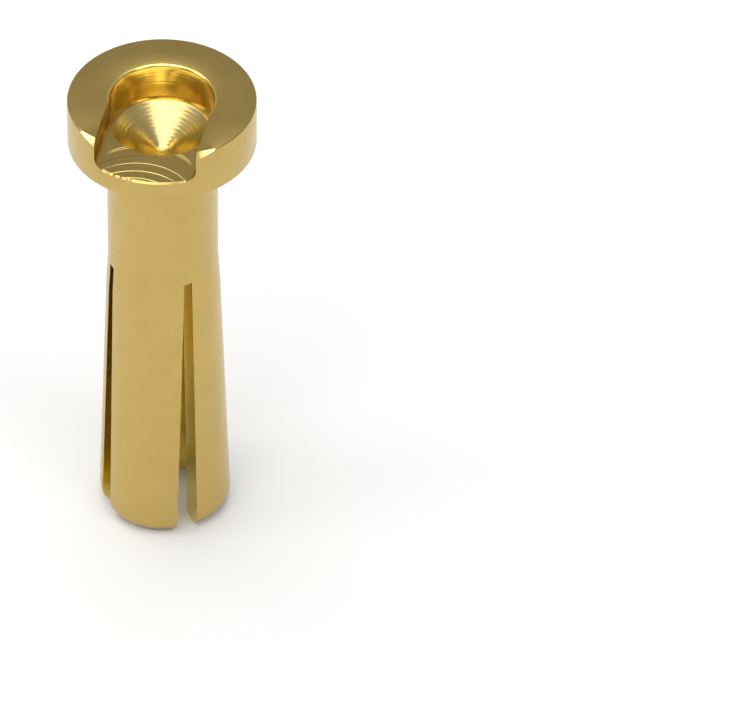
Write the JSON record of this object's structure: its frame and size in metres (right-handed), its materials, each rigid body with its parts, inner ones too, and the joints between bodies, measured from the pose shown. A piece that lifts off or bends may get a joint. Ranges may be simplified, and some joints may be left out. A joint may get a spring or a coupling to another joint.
{
  "type": "battery lead bullet plug",
  "caption": "Gold-plated low-profile bullet plug for a battery lead, with a side-entry solder cup in its head and a hollow slotted shank of spring fingers.",
  "frame": {"origin": "centre of the plane through the finger tips, which is the bottom of the bounding box", "axes": "+Z along the plug's axis from the finger tips to the head, -Y the way the wire slot opens"},
  "size_m": [0.0068, 0.0068, 0.019],
  "materials": {
    "gold_plating": "gold plated over turned brass, satin on the outside"
  },
  "bodies": {
    "root": {"bullet_plug": "gold_plating"}
  },
  "joints": []
}
